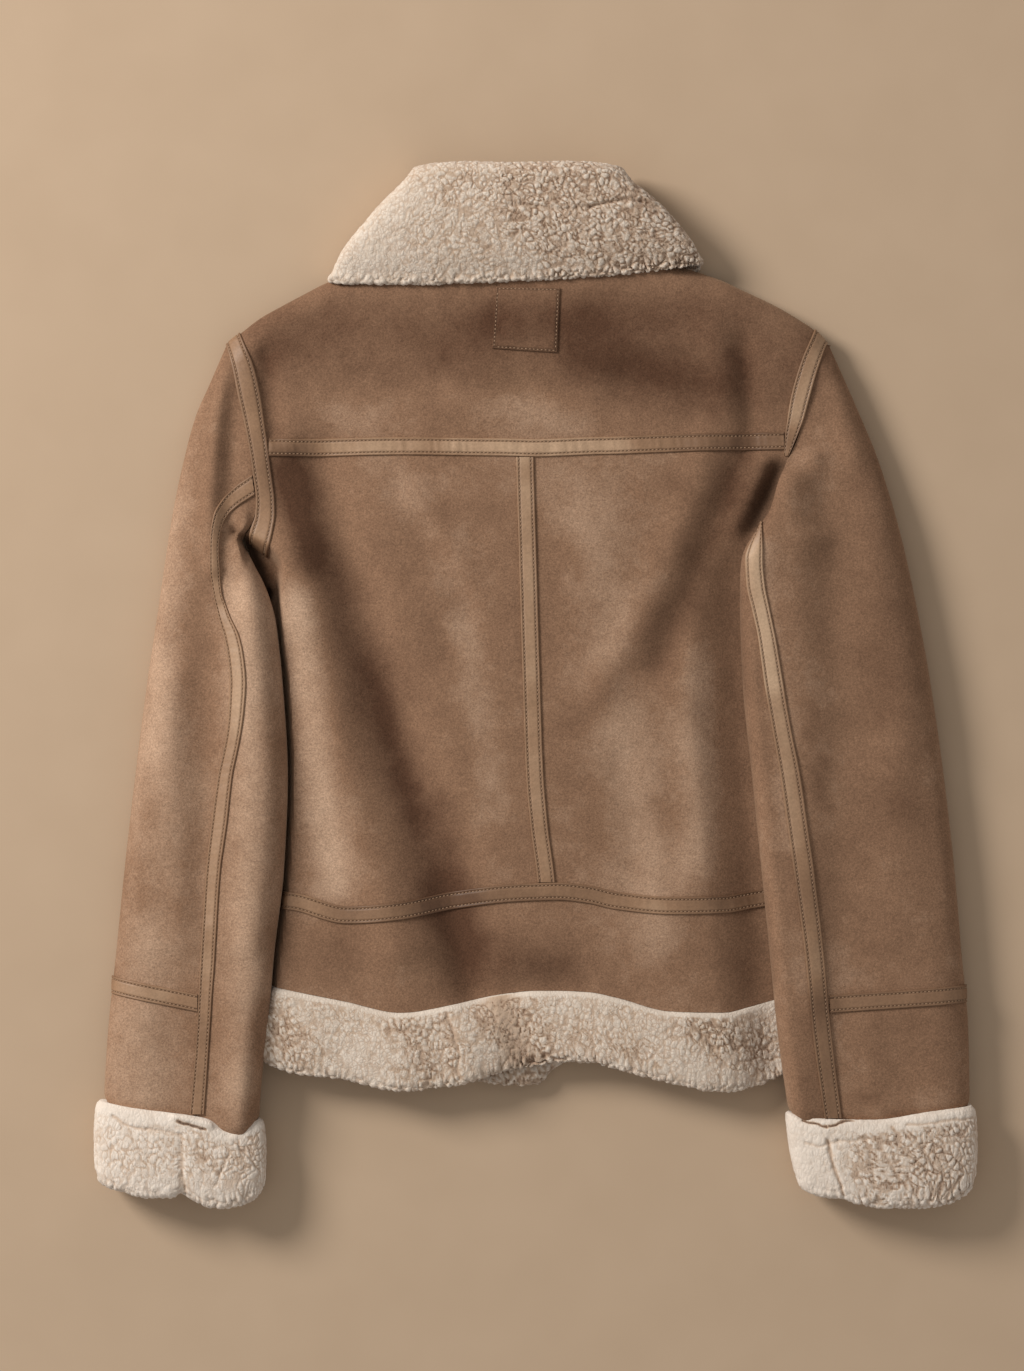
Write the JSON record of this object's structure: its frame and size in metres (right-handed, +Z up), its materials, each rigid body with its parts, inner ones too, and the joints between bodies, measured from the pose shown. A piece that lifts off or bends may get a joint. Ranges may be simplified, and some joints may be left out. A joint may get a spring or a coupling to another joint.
{
  "type": "jacket",
  "caption": "Waist-length faux shearling jacket laid flat on its front, with suede-look panels, smooth taped seams and curly pile on collar, hem and turned-up cuffs.",
  "frame": {"origin": "centre of the lying jacket's outline, on the surface it lies on", "axes": "+X to the right as seen from above with the collar at the top, +Y from hem to collar, +Z up out of the jacket's back"},
  "size_m": [0.652, 0.773, 0.0465],
  "materials": {
    "suede": "matte brown suede-look cloth with a mottled nap",
    "tape": "smooth tan leather-look tape with a slight sheen",
    "pile": "cream curly faux shearling pile"
  },
  "bodies": {
    "root": {"back_yoke": "suede", "back_left": "suede", "back_right": "suede", "waistband_back": "suede", "front_left": "suede", "front_right": "suede", "waistband_front_left": "suede", "waistband_front_right": "suede", "sleeve_left_top": "suede", "sleeve_left_under": "suede", "sleeve_left_lower": "suede", "sleeve_right_top": "suede", "sleeve_right_under": "suede", "sleeve_right_lower": "suede", "neck_patch": "suede", "collar": "pile", "hem_trim_back": "pile", "hem_trim_front_left": "pile", "hem_trim_front_right": "pile", "cuff_left": "pile", "cuff_right": "pile", "tape_yoke": "tape", "tape_centre_back": "tape", "tape_waist": "tape", "tape_armhole_left": "tape", "tape_armhole_right": "tape", "tape_sleeve_left": "tape", "tape_sleeve_right": "tape", "tape_wrist_left": "tape", "tape_wrist_right": "tape"}
  },
  "joints": []
}
